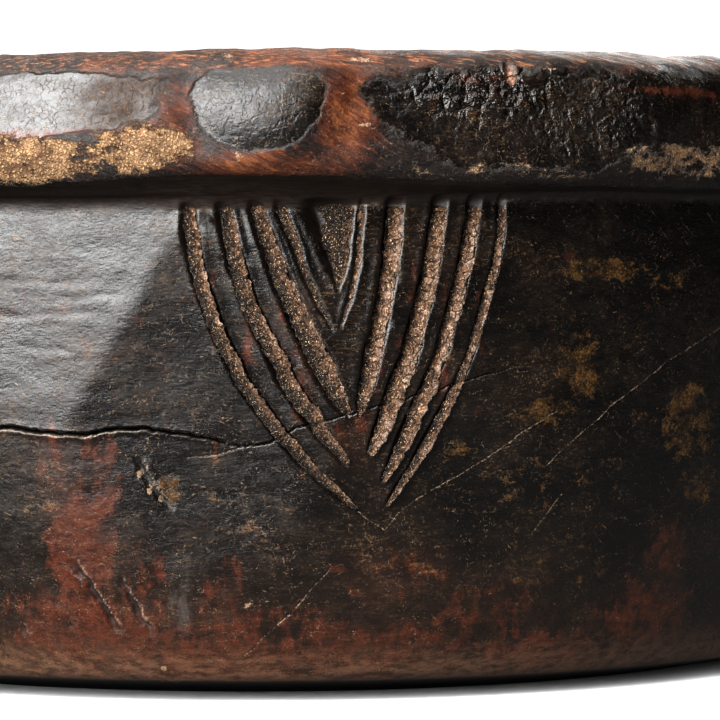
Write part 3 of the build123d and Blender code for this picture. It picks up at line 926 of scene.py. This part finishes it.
# %% Scratches, hairlines, dust, painted shade and painted highlights
hairs = []
for angles, size in (((0, 18, 0), 0.36), ((20, -24, 10), 0.42), ((0, 63, 30), 0.40), ((0, -52, -20), 0.38)):
    hair_place = f.nudge(f.scale(f.turn(f.place, angles), (0.09, 1.0, 1.0)), wander, 0.4)
    hairs.append(f.step(f.cloud(hair_place, size, 1.0, 0.5), 0.735, 0.775))
for size, thin, seed_turn in ((5.0, 0.005, 40.0), (3.2, 0.008, 75.0)):
    curl = f.cloud(f.turn(f.place, (seed_turn, 10.0, 5.0)), size, 2.0, 0.55)
    line = f.step(abs(curl - 0.5), thin, thin * 0.4)
    hairs.append(line * f.step(speck, 0.48, 0.60))
scratches = hairs[0]
for hair in hairs[1:]:
    scratches = f.combine("MAXIMUM", scratches, hair)
scratches = scratches * f.step(patchy, 0.42, 0.60, 0.10, 1.0)
scratches = scratches * f.step(f.painted("soot"), 0.0, 1.0, 1.0, 0.3)
colour = f.lay(colour, (0.300, 0.200, 0.115), scratches * 0.8)
dirt = f.step(speck + broad * 0.5, 0.90, 1.00)
colour = f.lay(colour, (0.26, 0.165, 0.085), dirt * 0.65)

pale_mask = f.step(f.painted("pale") + (tooth + speck - 1.0) * 1.4, 0.40, 0.62)
colour = f.lay(colour, (0.42, 0.29, 0.19), pale_mask * f.step(speck, 0.3, 0.6, 0.35, 0.9))
mottle = f.cloud(f.place, 0.36, 3.0, 0.7)
mottled = f.step(mottle, 0.54, 0.40) * f.step(patchy, 0.35, 0.60, 0.25, 0.75)
colour = f.lay(colour, (0.0045, 0.003, 0.0022), mottled * 0.60)
# Grey scuffs, and a painted sheen on the ridge at the lower left.
scuff_and_sheen_mask = f.painted("scuff_and_sheen") * f.step(upright, 0.36, 0.62)
colour = f.lay(colour, (0.125, 0.115, 0.108), scuff_and_sheen_mask * 0.8)
# Painted shade: the knocks' cores are laid almost black.
colour = f.lay(colour, (0.002, 0.0015, 0.0012), f.painted("gouge") * 0.85)
soot_colour = f.lay((0.008, 0.0055, 0.004), (0.036, 0.0195, 0.0115), f.step(grain, 0.35, 0.65))
colour = f.lay(colour, soot_colour, f.painted("soot"))
colour = f.lay(colour, (0.014, 0.0065, 0.004), f.painted("groove") * 0.9)
chip_colour = f.lay((0.16, 0.070, 0.038), (0.50, 0.30, 0.21), f.step(tooth, 0.40, 0.62))
colour = f.lay(colour, chip_colour, f.painted("chip"))
hair_width = f.step(speck, 0.38, 0.62, 0.02, 0.12)
hair_core = f.step(f.painted("hairline") - hair_width, 0.06, 0.0)
hair_bright = f.step(speck + patchy * 0.7, 0.76, 1.0)
hair_colour = f.lay((0.020, 0.010, 0.006), (0.34, 0.25, 0.175), hair_bright)
colour = f.lay(colour, hair_colour, hair_core)
# Pale dust, and painted highlights on the lower lips of the crack and the knocks.
colour = f.lay(colour, DUST_AND_HIGHLIGHT, f.painted("dust_and_highlight") * f.step(speck, 0.40, 0.56, 0.15, 1.0))
# Painted shade: the open crack is laid almost black.
colour = f.lay(colour, (0.0015, 0.0012, 0.001), f.painted("crack"))
# Painted shade under the base edge.
colour = f.lay(colour, (0.006, 0.004, 0.003), f.painted("below_base"))
inside_tone = f.step(broad + patchy * 0.8, 0.78, 1.12)
inside_colour = f.lay((0.020, 0.0095, 0.006), (0.085, 0.036, 0.018), inside_tone)
colour = f.lay(colour, inside_colour, f.painted("hollow") * 0.85)

# %% How rough the wood is
GLOSSIEST = 0.07
rough_value = f.step(broad * 0.5 + level_patchy * 0.5, 0.36, 0.62, 0.18, 0.33)
rough_value = rough_value + (grain - 0.5) * 0.30
patch_gloss = (f.painted("leather") + f.painted("plate_patch")) * -2.0
rough_value = rough_value + patch_gloss * -0.03
rough_value = rough_value + rust_mask * 0.10
honey_dull = f.painted("fine_right") * f.step(patchy, 0.40, 0.60, 0.6, 1.0)
rough_value = rough_value + honey_dull * 0.50
rough_value = rough_value + f.painted("plates") * -0.10
red_on_rim = red_mask * on_rim_ochre
rough_value = rough_value + red_on_rim * 0.15
for name, more in (
    ("soot", 0.22), ("groove", 0.22), ("base_rub_and_bounce", 0.12), ("below_base", 0.3), ("chip", 0.45), ("gouge", 0.4),
    ("crown", 0.15),
):
    rough_value = rough_value + f.painted(name) * more
rough_value = f.combine("ADD", rough_value, ochre_share * on_rim_ochre * 0.25, clamp=True)
rough_value = f.combine("MAXIMUM", rough_value, GLOSSIEST)

# %% How bumpy the wood is
swell = f.cloud(f.scale(fibre_place, (0.6, 1.0, 1.0)), 4.5, 3.0, 0.55)
smooth_skin = f.combine("MAXIMUM", f.painted("fine"), f.painted("leather"))
calm = f.step(smooth_skin, 0.0, 1.0, 1.0, 0.42)
height = grain * 0.070 * calm
for pattern, amount in ((tooth * calm, 0.065), (fine_lines, -0.03), (scratches, 0.03), (swell, 0.24),
                        (patchy * calm, 0.12), (level_patchy * calm, 0.08), (dirt, 0.04)):
    height = height + pattern * amount
big_plates = f.step(big_cells, 0.0, 0.24) * f.painted("plates")
small_plates = f.step(small_cells, 0.0, 0.20) * f.painted("wrinkled") * some
honey = f.step(f.cells(fine_place, 1.9), 0.0, 0.25) * f.painted("fine_right")
crease = abs(f.cloud(f.nudge(f.place, wander, 1.0), 3.0, 4.0, 0.6) - 0.5)
wrinkle = f.step(crease, 0.0, 0.10) * (f.painted("leather") + f.painted("bare"))
rubbed = rust_grain * rust_mask
crumbs = (f.step(grit, 0.0, 0.3) + tooth * 1.5) * ochre_share
crumbs = crumbs * f.step(on_rim_ochre, 0.0, 1.0, 0.10, 1.0)
for pattern, amount in (
    (big_plates, 0.80), (small_plates, 0.30), (honey, 0.08), (wrinkle, 0.05), (rubbed, 0.42), (crumbs, 0.18),
):
    height = height + pattern * amount
wood = f.done(colour, rough_value, height)
f.shader.inputs["IOR"].default_value = 1.52
skin.materials.append(wood)
print("wood finish:", len(f.tree.nodes), "nodes")

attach(bowl, "root")
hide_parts("bowl_body")

# %% [markdown]
# ## The crust in the grooves
# Years of oil, earth and wood dust have dried in the cuts. It isn't wood: it is a grainy, matt
# filling that lies against the easy side of each groove and leaves the steep side open. Each
# stroke gets its own closed ribbon with a lumpy top, laid in the same section that was cut
# above, and all ribbons of a motif make one piece.

# %% Lay a ribbon of crust in every stroke
ACROSS = 12                   # points over the top of a ribbon
RIBBON_STEP = 0.31            # length of one cell along a ribbon
LEFT_EDGE, RIGHT_EDGE = -0.80, 1.12


def ribbon(stroke, side_number, seed):
    """Corners in metres, faces, which faces are on top, and the shade of each corner, of one closed ribbon.
    """
    _, rough_line, _, _ = stroke_line(stroke, 40)
    length = np.hypot(*np.diff(rough_line, axis=0).T).sum()
    steps = int(length / RIBBON_STEP)
    t, place, half, heading = stroke_line(stroke, steps)
    left = np.stack([heading[:, 1], -heading[:, 0]], axis=1)
    triangle = stroke is TRIANGLE
    first = -0.58 if triangle else LEFT_EDGE
    sides = np.linspace(first, RIGHT_EDGE, ACROSS)
    corners = []
    depth_width = np.minimum(half, WIDEST)
    apart = side_number * 400     # the four motifs read the hills far from one another
    for top in (True, False):
        for side in (sides if top else sides[::-1]):
            key = np.stack([t * length + apart, np.full(steps, seed * 3.0), np.zeros(steps)], axis=1)
            at_edge = abs(side - RIGHT_EDGE) < 0.3 or abs(side - first) < 0.3
            torn = 0.16 * hills(key, 0.55, seed + 5) + 0.12 * hills(key, 1.3, seed + 7)
            ragged = side + (torn + 0.28 * hills(key, 4.6, seed + 6)) * at_edge
            spot = place - left * (ragged * half)[:, None]
            floor = groove_depth(np.full(steps, side), depth_width)
            at = np.stack([spot[:, 0] + apart, spot[:, 1], np.zeros(steps)], axis=1)
            edge = 1.0 - abs(2 * (side - first) / (RIGHT_EDGE - first) - 1.0) ** 4
            hide = 1.6 * soft_step(spot[:, 1], WALL_TOP - 0.2, WALL_TOP + 1.6)
            if top:
                lump = 0.34 * hills(at, 0.9, seed) + 0.30 * hills(at, 1.9, seed + 1)
                lump += 0.26 * hills(at, 4.5, seed + 2)
                thick = edge * (0.42 + 0.26 * half / 1.8 + lump + 0.25 * triangle)
                below = np.maximum(floor - thick, 0.04 + 0.10 * hills(at, 0.9, seed + 3)) + hide
                if side_number == 0:
                    gap, open_half, _, _ = crack_shape(spot[:, 0], spot[:, 1])
                    below += 0.55 * (1 - soft_step(gap, 0.10, 0.34))
            else:
                below = floor + 0.25 + 0.15 * edge + hide
            turn = (spot[:, 0] + side_number * math.pi / 2 * BULGE) / BULGE
            r = wall_radius(spot[:, 1]) - below
            corners.append(np.stack([r * np.sin(turn), -r * np.cos(turn), spot[:, 1]], axis=1) * MM)
    ring = len(corners)
    corners = np.stack(corners, axis=1).reshape(-1, 3)
    # Painted light: each ribbon's shade ramp gets lighter towards its easy right side, which faces the light,
    # and the right-hand strokes are lighter still, a painted highlight.
    right_hand = 0.28 if stroke[0] > 0 else 0.0
    power = 1.8 if triangle else 1.0
    ramp = [((side - first) / (RIGHT_EDGE - first)) ** power + right_hand for side in sides]
    shades = (ramp + ramp[::-1]) * steps
    faces = []
    shows = []
    for i in range(steps - 1):
        for k in range(ring):
            n = (k + 1) % ring
            faces.append((i * ring + k, (i + 1) * ring + k, (i + 1) * ring + n, i * ring + n))
            shows.append(1.0 if k < ACROSS - 1 else 0.0)
    for begin, order in ((0, 1), ((steps - 1) * ring, -1)):
        for k in range(ACROSS - 1):
            cap = (begin + k, begin + k + 1, begin + ring - 2 - k, begin + ring - 1 - k)
            faces.append(cap[::order])
            shows.append(0.0)
    return corners, faces, shows, shades


def crust_mesh(side_number):
    """All ribbons of one motif in one mesh."""
    corners, faces, shows, shades = [], [], [], []
    for i, stroke in enumerate(STROKES + [TRIANGLE]):
        more, its_faces, its_shows, its_shades = ribbon(stroke, side_number, 200 + 10 * i)
        first = sum(len(c) for c in corners)
        corners.append(more)
        faces += [tuple(first + v for v in face) for face in its_faces]
        shows += its_shows
        shades += its_shades
    mesh = bpy.data.meshes.new(f"crust_{SIDES[side_number]}")
    mesh.from_pydata(np.vstack(corners).tolist(), [], faces)
    layer = mesh.attributes.new("shows", "FLOAT", "FACE")
    layer.data.foreach_set("value", shows)
    layer = mesh.attributes.new("shade", "FLOAT", "POINT")
    layer.data.foreach_set("value", shades)
    tidy = bmesh.new()
    tidy.from_mesh(mesh)
    bmesh.ops.recalc_face_normals(tidy, faces=tidy.faces)
    tidy.to_mesh(mesh)
    tidy.free()
    mesh.shade_smooth()
    return mesh


# %% Dry crust finish
c = Finish("groove_crust")
crumb = c.cloud(c.place, 0.45, 6.0, 0.78)
smear = c.cloud(c.place, 6.0, 5.0, 0.65)
blotch = c.cloud(c.place, 1.8, 5.0, 0.7)
split = c.cells(c.nudge(c.place, c.cloud(c.place, 1.2, 3.0, 0.6, colour=True), 1.4), 1.9)
tone = crumb * 0.8 + (smear * 0.6 + blotch * 0.8)
# Painted light: the crust is lighter where the shade ramp is high.
tone = tone + (c.painted("shade") - 0.59) * 0.40
crust_colour = c.lay((0.013, 0.0065, 0.0038), (0.175, 0.093, 0.050), c.step(tone, 0.98, 1.28))
crust_colour = c.lay(crust_colour, (0.42, 0.31, 0.245), c.step(tone, 1.22, 1.46))
glint = c.step(crumb + c.cloud(c.place, 0.22, 2.0, 0.6) * 0.8, 1.00, 1.10)
crust_colour = c.lay(crust_colour, (0.90, 0.64, 0.38), glint)
splits = c.step(split, 0.07, 0.0) * c.step(smear, 0.46, 0.56)
crust_colour = c.lay(crust_colour, (0.006, 0.004, 0.003), splits)
crust_height = crumb * 0.42 + c.step(split, 0.0, 0.10) * 0.25
crust_height = crust_height + blotch * 0.5
crust = c.done(crust_colour, c.step(crumb, 0.35, 0.65, 0.36, 0.70), crust_height)

# %% [markdown]
# The grains on the crust are small lumps of many sizes, thousands of them. Placing them is work
# for a node tree: it spreads points over the ribbons' outer faces, sets a lump on each, turns it
# at random and makes the whole a plain mesh again.

# %% Node tree that strews grains
GRAINS = 1.3e6                # on each square metre
GRAIN = 0.22 * MM


def strew_tree():
    """Grains strewn over a surface, with named inputs."""
    tree = bpy.data.node_groups.new("strewn_grains", "GeometryNodeTree")
    face = tree.interface
    face.new_socket("Geometry", in_out="INPUT", socket_type="NodeSocketGeometry")
    inputs = {}
    for name, kind, value in (
        ("Grains per square metre", "NodeSocketFloat", GRAINS), ("Grain size", "NodeSocketFloat", GRAIN),
        ("Seed", "NodeSocketInt", 17),
    ):
        socket = face.new_socket(name, in_out="INPUT", socket_type=kind)
        socket.default_value = value
        inputs[name] = socket.identifier
    inputs["Finish"] = face.new_socket("Finish", in_out="INPUT", socket_type="NodeSocketMaterial").identifier
    face.new_socket("Geometry", in_out="OUTPUT", socket_type="NodeSocketGeometry")
    new = tree.nodes.new
    start = new("NodeGroupInput")
    points = new("GeometryNodeDistributePointsOnFaces")
    grain_shape = new("GeometryNodeMeshIcoSphere")
    grain_shape.inputs["Subdivisions"].default_value = 1
    place = new("GeometryNodeInstanceOnPoints")
    size = new("FunctionNodeRandomValue")
    size.data_type = "FLOAT_VECTOR"
    size.inputs["Min"].default_value = (0.35, 0.35, 0.3)
    size.inputs["Max"].default_value = (1.25, 1.1, 0.9)
    twist = new("FunctionNodeRandomValue")
    twist.data_type = "FLOAT_VECTOR"
    twist.inputs["Max"].default_value = (math.tau, math.tau, math.tau)
    plain_mesh = new("GeometryNodeRealizeInstances")
    paint = new("GeometryNodeSetMaterial")
    both = new("GeometryNodeJoinGeometry")
    end = new("NodeGroupOutput")
    shows = new("GeometryNodeInputNamedAttribute")
    shows.inputs["Name"].default_value = "shows"
    for giver, output, taker, entry in (
        (start, "Geometry", points, "Mesh"), (shows, "Attribute", points, "Selection"),
        (start, "Grains per square metre", points, "Density"), (start, "Seed", points, "Seed"),
        (start, "Grain size", grain_shape, "Radius"), (points, "Points", place, "Points"),
        (grain_shape, "Mesh", place, "Instance"), (size, "Value", place, "Scale"),
        (twist, "Value", place, "Rotation"), (start, "Geometry", both, "Geometry"),
        (place, "Instances", both, "Geometry"), (both, "Geometry", plain_mesh, "Geometry"),
        (plain_mesh, "Geometry", paint, "Geometry"), (start, "Finish", paint, "Material"),
        (paint, "Geometry", end, "Geometry"),
    ):
        tree.links.new(giver.outputs[output], taker.inputs[entry])
    return tree, inputs


strewn, strewn_inputs = strew_tree()

# %% Make the crust of each motif
for number, side_name in enumerate(SIDES):
    piece = put(f"crust_{side_name}", crust_mesh(number))
    grains = piece.modifiers.new("grains", "NODES")
    grains.node_group = strewn
    for name, value in (
        ("Grains per square metre", GRAINS), ("Grain size", GRAIN), ("Seed", 17 + number), ("Finish", crust),
    ):
        grains[strewn_inputs[name]] = value
    ready = piece.evaluated_get(bpy.context.evaluated_depsgraph_get())
    solid = bpy.data.meshes.new_from_object(ready)
    piece.modifiers.clear()
    piece.data = solid
    solid.shade_smooth()
    if not solid.materials:
        solid.materials.append(crust)
    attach(piece, "root")
    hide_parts(f"groove_crust_{side_name}")
    print(piece.name, sum(len(p.vertices) - 2 for p in solid.polygons), "triangles")

# %% [markdown]
# ## Table, light and camera
# The bowl stands on a plain white table. One large soft light from the left rakes across the
# wall, so grooves and flats read, and the right side falls almost into the dark. A weak light
# beside it catches the rim. Two side lights stand behind the bowl and fall on it alone, so that its
# sides and back can be read, and a broad sun falls on the table alone and keeps it white.

# %% What the camera sees and what other rays see
def two_looks(tree, kind, seen, other, surface):
    """One colour for the camera, another one for the light that is passed on."""
    looks = []
    for brightness in (other, seen):
        shader = tree.nodes.new(kind)
        shader.inputs["Color"].default_value = (brightness, brightness, brightness, 1.0)
        looks.append(shader.outputs[0])
    mix = tree.nodes.new("ShaderNodeMixShader")
    rays = tree.nodes.new("ShaderNodeLightPath")
    for look, socket in zip([rays.outputs["Is Camera Ray"]] + looks, mix.inputs):
        tree.links.new(look, socket)
    tree.links.new(mix.outputs[0], surface)


# %% Table
SPAN = 6.0
floor_mesh = bpy.data.meshes.new("table")
corners = [(-SPAN, -SPAN, 0), (SPAN, -SPAN, 0), (SPAN, SPAN, 0), (-SPAN, SPAN, 0)]
floor_mesh.from_pydata(corners, [], [(0, 1, 2, 3)])
table = put("table", floor_mesh)
paper = bpy.data.materials.new("white_paper")
paper.use_nodes = True
paper.node_tree.nodes.clear()
paper_out = paper.node_tree.nodes.new("ShaderNodeOutputMaterial")
two_looks(paper.node_tree, "ShaderNodeBsdfDiffuse", 0.92, 0.085, paper_out.inputs["Surface"])
floor_mesh.materials.append(paper)


# %% Lights
def aim(thing, direction):
    """Turns a lamp or the camera so that it looks along a direction."""
    thing.rotation_euler = Vector(direction).to_track_quat("-Z", "Y").to_euler()


def around(bearing_degrees, distance, height):
    """A place round the bowl, counted from the front motif."""
    turn = math.radians(bearing_degrees)
    return Vector((distance * math.sin(turn), -distance * math.cos(turn), height))


def light_only(name, lamps, things):
    """Lets the lamps fall on these things alone."""
    group = bpy.data.collections.new(name)
    for thing in things:
        group.objects.link(thing)
    for lamp in lamps:
        lamp.light_linking.receiver_collection = group


MIDDLE = Vector((0.0, -0.05, 0.08))
lamps = {}
for name, place, target, width, height, power in (
    ("left_softbox", around(-39.5, 1.15, 0.60), MIDDLE, 0.75, 1.04, 39.5),
    ("rim_softbox", around(-42.0, 1.05, 0.53), MIDDLE, 0.40, 0.30, 1.0),
    ("top_light", Vector((-0.15, -0.25, 1.4)), Vector((0.0, 0.0, 0.1)), 1.1, 1.1, 17.0),
    ("back_light", around(150.0, 1.3, 0.9), MIDDLE, 0.8, 0.8, 1.0),
    ("right_light", around(146.0, 1.3, 0.55), MIDDLE, 0.9, 0.8, 24.0),
    ("left_light", around(-138.0, 1.3, 0.60), MIDDLE, 1.0, 0.9, 26.0),
):
    soft = bpy.data.lights.new(name, "AREA")
    soft.shape = "RECTANGLE"
    soft.size, soft.size_y, soft.energy = width, height, power
    lamps[name] = put(name, soft)
    lamps[name].location = place
    aim(lamps[name], target - place)
table_sun = put("table_sun", bpy.data.lights.new("table_sun", "SUN"))
table_sun.data.energy = 8.0
table_sun.data.angle = math.radians(60.0)
aim(table_sun, (0.1, 1.35, -1.0))
crusts = [bpy.data.objects[f"crust_{side_name}"] for side_name in SIDES]
light_only("only_bowl", (lamps["right_light"], lamps["left_light"]), [bowl] + crusts)
light_only("only_table", [table_sun], [table])
print(len(lamps) + 1, "lights")

# %% World
world = bpy.data.worlds.new("studio")
bpy.context.scene.world = world
world.use_nodes = True
surface = world.node_tree.nodes["World Output"].inputs["Surface"]
two_looks(world.node_tree, "ShaderNodeBackground", 1.05, 0.015, surface)
view = bpy.context.scene.view_settings
view.view_transform = "Standard"
view.gamma = 0.80
view.exposure = 0.30

# %% Camera
BEARING = -5.77                   # the camera stands a little to the left of the front motif
DISTANCE = 0.915                  # from the bowl's axis
EYE = 0.1011
AIM_RIGHT = 1.51
AIM_DOWN = math.radians(2.05)
camera_data = bpy.data.cameras.new("camera")
camera_data.sensor_width = 36.0
camera_data.lens = 180.0
camera_data.clip_start = 0.01
camera = put("camera", camera_data)
camera.location = around(BEARING, DISTANCE, EYE)
facing = math.radians(AIM_RIGHT - BEARING)
level = math.cos(AIM_DOWN)
aim(camera, (math.sin(facing) * level, math.cos(facing) * level, -math.sin(AIM_DOWN)))
bpy.context.scene.camera = camera
